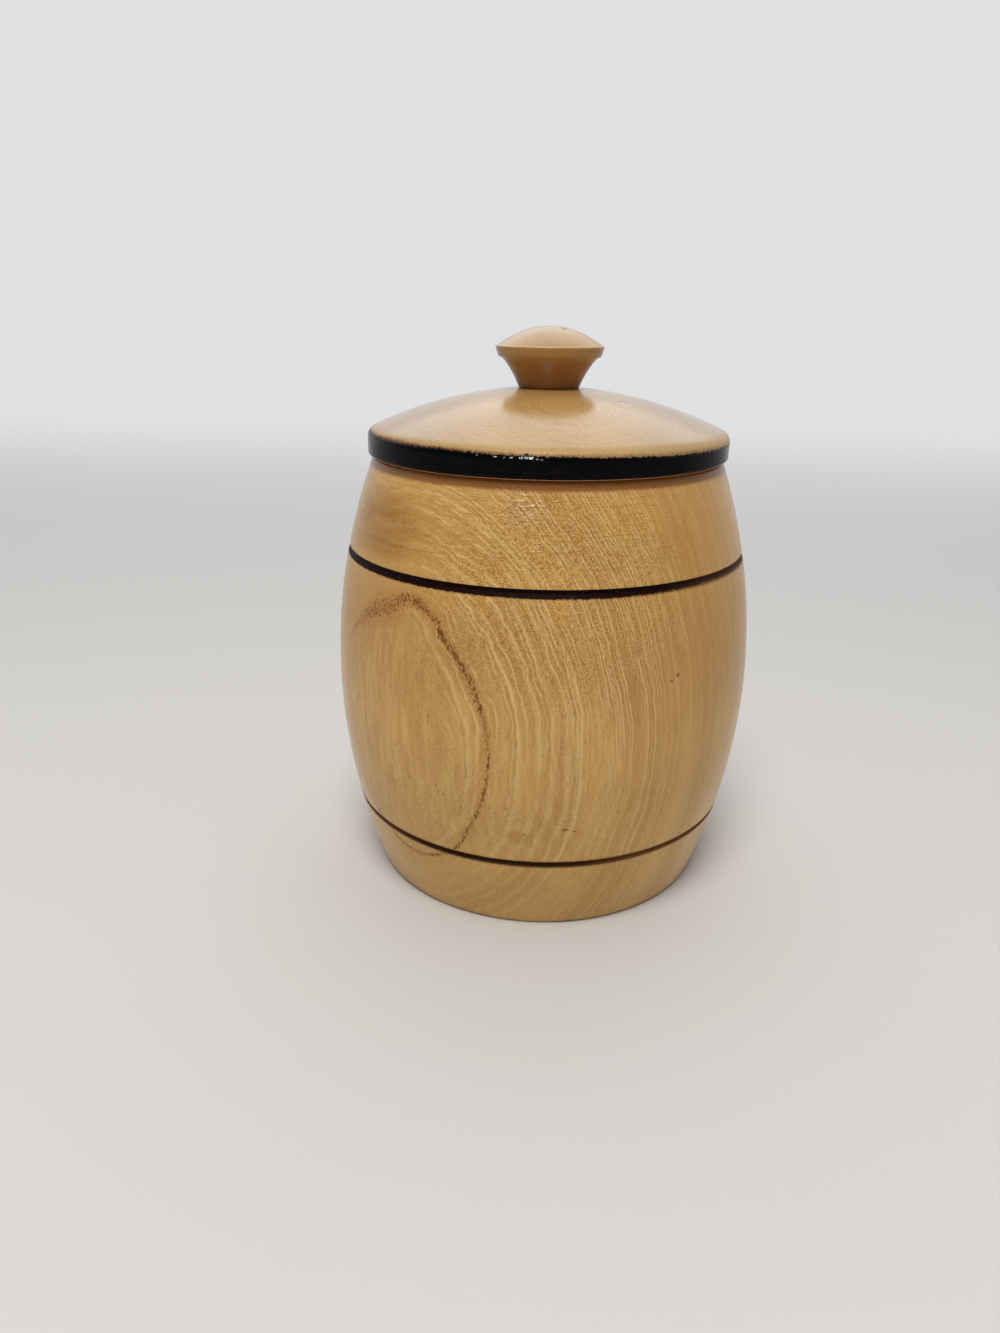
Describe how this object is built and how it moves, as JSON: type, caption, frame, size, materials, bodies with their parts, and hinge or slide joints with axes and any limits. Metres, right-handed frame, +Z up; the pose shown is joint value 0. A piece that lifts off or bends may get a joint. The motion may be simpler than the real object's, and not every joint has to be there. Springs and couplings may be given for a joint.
{
  "type": "spice jar",
  "caption": "Small turned wooden spice jar: a barrel-shaped body with burnt lines, and a domed lid with a black edge and a mushroom knob that lifts out of the mouth.",
  "frame": {"origin": "middle of the flat base, on the surface that the jar stands on", "axes": "+Z up along the turning axis, towards the knob; -Y is the side that faces the camera"},
  "size_m": [0.066, 0.066, 0.0855],
  "materials": {
    "barrel_wood": "turned golden-tan hardwood under a thin clear lacquer, with burnt lines",
    "lid_wood": "the same wood under clear lacquer, with gloss black paint round its edge",
    "knob_wood": "the same wood under clear lacquer"
  },
  "bodies": {
    "jar": {"barrel_body": "barrel_wood"},
    "lid": {"lid": "lid_wood", "lid_knob": "knob_wood"}
  },
  "joints": [
    {"name": "lid_lift", "type": "slide", "parent": "jar", "child": "lid", "axis": [0, 0, 1], "range_m": [0, 0.07]}
  ]
}
